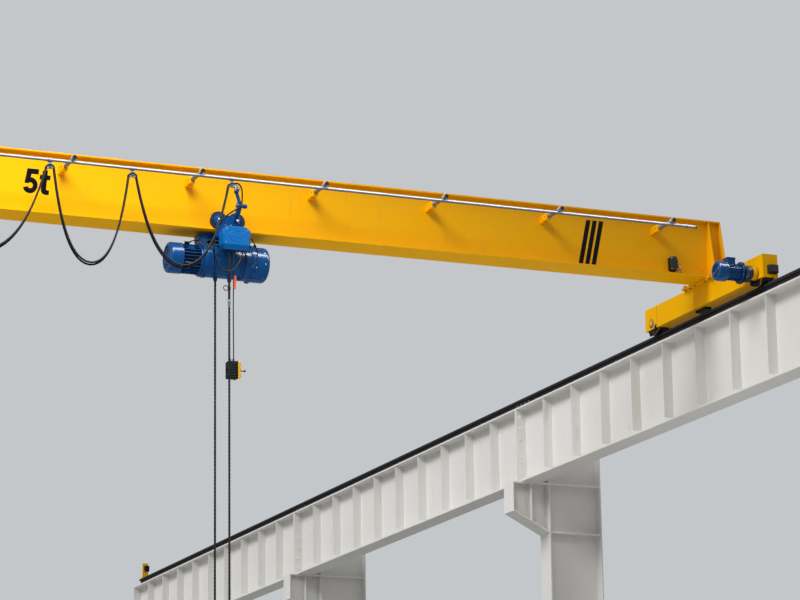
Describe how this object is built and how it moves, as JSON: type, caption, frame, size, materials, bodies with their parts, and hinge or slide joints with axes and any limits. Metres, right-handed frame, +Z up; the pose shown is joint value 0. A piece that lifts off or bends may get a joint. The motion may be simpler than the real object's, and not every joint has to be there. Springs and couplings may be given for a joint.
{
  "type": "overhead bridge crane",
  "caption": "Single-girder overhead bridge crane with wire rope hoist, end trucks and cable festoon on a raised runway of plate girders and bracketed columns.",
  "frame": {"origin": "floor level, middle of the runway in plan", "axes": "+X across the span to the right rail, +Y along the runway away from the viewer, +Z up"},
  "size_m": [18.9, 26.36, 11.232],
  "materials": {
    "structure_white": "warm white paint, satin",
    "crane_yellow": "chrome yellow enamel, semi-gloss",
    "hoist_blue": "bright blue enamel, gloss",
    "gear_grey": "dark blue-grey paint",
    "rail_steel": "dark rolled steel",
    "wheel_steel": "forged wheel steel",
    "zinc": "galvanised",
    "black_plastic": "black moulded plastic",
    "rubber": "black rubber",
    "cable_sheath": "black cable sheath",
    "rope_steel": "greased wire rope",
    "hook_steel": "forged steel"
  },
  "bodies": {
    "runway": {"columns_left": "structure_white", "columns_right": "structure_white", "beam_left_1": "structure_white", "beam_left_2": "structure_white", "beam_left_3": "structure_white", "beam_right_1": "structure_white", "beam_right_2": "structure_white", "beam_right_3": "structure_white", "rail_left": "rail_steel", "rail_right": "rail_steel", "rail_stops": "crane_yellow"},
    "bridge": {"bridge_girder": "crane_yellow", "end_truck_left": "crane_yellow", "end_truck_right": "crane_yellow", "truck_buffers": "rubber", "travel_motor_left": "hoist_blue", "travel_motor_right": "hoist_blue", "travel_gearbox_left": "gear_grey", "travel_gearbox_right": "gear_grey", "festoon_arms": "zinc", "festoon_pipe": "zinc", "web_boxes": "black_plastic", "cable_loop_1": "cable_sheath"},
    "trolley": {"trolley_frame": "hoist_blue", "trolley_drive": "hoist_blue", "tow_arm": "hoist_blue", "hoist_motor": "hoist_blue", "hoist_cowl": "hoist_blue", "drum_housing": "hoist_blue", "hoist_gearbox": "hoist_blue", "control_box": "hoist_blue", "limit_switch": "black_plastic", "hoist_cable": "cable_sheath", "hoist_ropes": "rope_steel"},
    "hook": {"hook_block": "crane_yellow", "load_hook": "hook_steel"},
    "bridge_wheel_1": {"bridge_wheel_1": "wheel_steel"},
    "trolley_wheel_1": {"trolley_wheel_1": "wheel_steel"},
    "bridge_wheel_2": {"bridge_wheel_2": "wheel_steel"},
    "trolley_wheel_2": {"trolley_wheel_2": "wheel_steel"},
    "bridge_wheel_3": {"bridge_wheel_3": "wheel_steel"},
    "trolley_wheel_3": {"trolley_wheel_3": "wheel_steel"},
    "bridge_wheel_4": {"bridge_wheel_4": "wheel_steel"},
    "trolley_wheel_4": {"trolley_wheel_4": "wheel_steel"},
    "carrier_1": {"cable_carrier_1": "black_plastic", "cable_loop_2": "cable_sheath"},
    "carrier_2": {"cable_carrier_2": "black_plastic", "cable_loop_3": "cable_sheath"},
    "carrier_3": {"cable_carrier_3": "black_plastic", "cable_loop_4": "cable_sheath"},
    "carrier_4": {"cable_carrier_4": "black_plastic", "cable_loop_5": "cable_sheath"},
    "carrier_5": {"cable_carrier_5": "black_plastic", "cable_loop_6": "cable_sheath"},
    "carrier_6": {"cable_carrier_6": "black_plastic", "cable_loop_7": "cable_sheath"},
    "tow": {"tow_carrier": "black_plastic"}
  },
  "joints": [
    {"name": "bridge_travel", "type": "slide", "parent": "runway", "child": "bridge", "axis": [0, 1, 0], "range_m": [-1.2, 20.4]},
    {"name": "trolley_travel", "type": "slide", "parent": "bridge", "child": "trolley", "axis": [1, 0, 0], "range_m": [-8.6, 5.1]},
    {"name": "hook_lift", "type": "slide", "parent": "trolley", "child": "hook", "axis": [0, 0, 1], "range_m": [-4.6, 3.8], "deforming": ["hoist_ropes"]},
    {"name": "bridge_wheel_spin_1", "type": "hinge", "parent": "bridge", "child": "bridge_wheel_1", "pos_m": [-8.25, -10.915, 10.24], "axis": [-1, 0, 0], "continuous": true},
    {"name": "bridge_wheel_spin_2", "type": "hinge", "parent": "bridge", "child": "bridge_wheel_2", "pos_m": [-8.25, -8.285, 10.24], "axis": [-1, 0, 0], "continuous": true},
    {"name": "bridge_wheel_spin_3", "type": "hinge", "parent": "bridge", "child": "bridge_wheel_3", "pos_m": [8.25, -10.915, 10.24], "axis": [-1, 0, 0], "continuous": true},
    {"name": "bridge_wheel_spin_4", "type": "hinge", "parent": "bridge", "child": "bridge_wheel_4", "pos_m": [8.25, -8.285, 10.24], "axis": [-1, 0, 0], "continuous": true},
    {"name": "trolley_wheel_spin_1", "type": "hinge", "parent": "trolley", "child": "trolley_wheel_1", "pos_m": [1.803, -9.79, 10.578], "axis": [0, 1, 0], "continuous": true},
    {"name": "trolley_wheel_spin_2", "type": "hinge", "parent": "trolley", "child": "trolley_wheel_2", "pos_m": [2.017, -9.79, 10.578], "axis": [0, 1, 0], "continuous": true},
    {"name": "trolley_wheel_spin_3", "type": "hinge", "parent": "trolley", "child": "trolley_wheel_3", "pos_m": [1.803, -9.41, 10.578], "axis": [0, 1, 0], "continuous": true},
    {"name": "trolley_wheel_spin_4", "type": "hinge", "parent": "trolley", "child": "trolley_wheel_4", "pos_m": [2.017, -9.41, 10.578], "axis": [0, 1, 0], "continuous": true},
    {"name": "carrier_slide_1", "type": "slide", "parent": "bridge", "child": "carrier_1", "axis": [1, 0, 0], "range_m": [-1.3544, 0.8073], "deforming": ["cable_loop_1"]},
    {"name": "carrier_slide_2", "type": "slide", "parent": "carrier_1", "child": "carrier_2", "axis": [1, 0, 0], "range_m": [-1.3544, 0.8073], "deforming": ["cable_loop_2"]},
    {"name": "carrier_slide_3", "type": "slide", "parent": "carrier_2", "child": "carrier_3", "axis": [1, 0, 0], "range_m": [-1.3544, 0.8073], "deforming": ["cable_loop_3"]},
    {"name": "carrier_slide_4", "type": "slide", "parent": "carrier_3", "child": "carrier_4", "axis": [1, 0, 0], "range_m": [-1.3544, 0.8073], "deforming": ["cable_loop_4"]},
    {"name": "carrier_slide_5", "type": "slide", "parent": "carrier_4", "child": "carrier_5", "axis": [1, 0, 0], "range_m": [-1.3544, 0.8073], "deforming": ["cable_loop_5"]},
    {"name": "carrier_slide_6", "type": "slide", "parent": "carrier_5", "child": "carrier_6", "axis": [1, 0, 0], "range_m": [-0.8484, 0.5072], "deforming": ["cable_loop_6"]},
    {"name": "tow_slide", "type": "slide", "parent": "carrier_6", "child": "tow", "axis": [1, 0, 0], "range_m": [-1.0492, 0.6263], "deforming": ["cable_loop_7"]}
  ],
  "couplings": [
    {"joint": "bridge_wheel_spin_1", "follows": "bridge_travel", "rad_per_m": 7.1429},
    {"joint": "bridge_wheel_spin_2", "follows": "bridge_travel", "rad_per_m": 7.1429},
    {"joint": "bridge_wheel_spin_3", "follows": "bridge_travel", "rad_per_m": 7.1429},
    {"joint": "bridge_wheel_spin_4", "follows": "bridge_travel", "rad_per_m": 7.1429},
    {"joint": "trolley_wheel_spin_1", "follows": "trolley_travel", "rad_per_m": 11.111},
    {"joint": "trolley_wheel_spin_2", "follows": "trolley_travel", "rad_per_m": 11.111},
    {"joint": "trolley_wheel_spin_3", "follows": "trolley_travel", "rad_per_m": 11.111},
    {"joint": "trolley_wheel_spin_4", "follows": "trolley_travel", "rad_per_m": 11.111},
    {"joint": "carrier_slide_1", "follows": "trolley_travel", "ratio": 0.15633},
    {"joint": "carrier_slide_2", "follows": "trolley_travel", "ratio": 0.15633},
    {"joint": "carrier_slide_3", "follows": "trolley_travel", "ratio": 0.15633},
    {"joint": "carrier_slide_4", "follows": "trolley_travel", "ratio": 0.15633},
    {"joint": "carrier_slide_5", "follows": "trolley_travel", "ratio": 0.15633},
    {"joint": "carrier_slide_6", "follows": "trolley_travel", "ratio": 0.09749},
    {"joint": "tow_slide", "follows": "trolley_travel", "ratio": 0.12084}
  ]
}
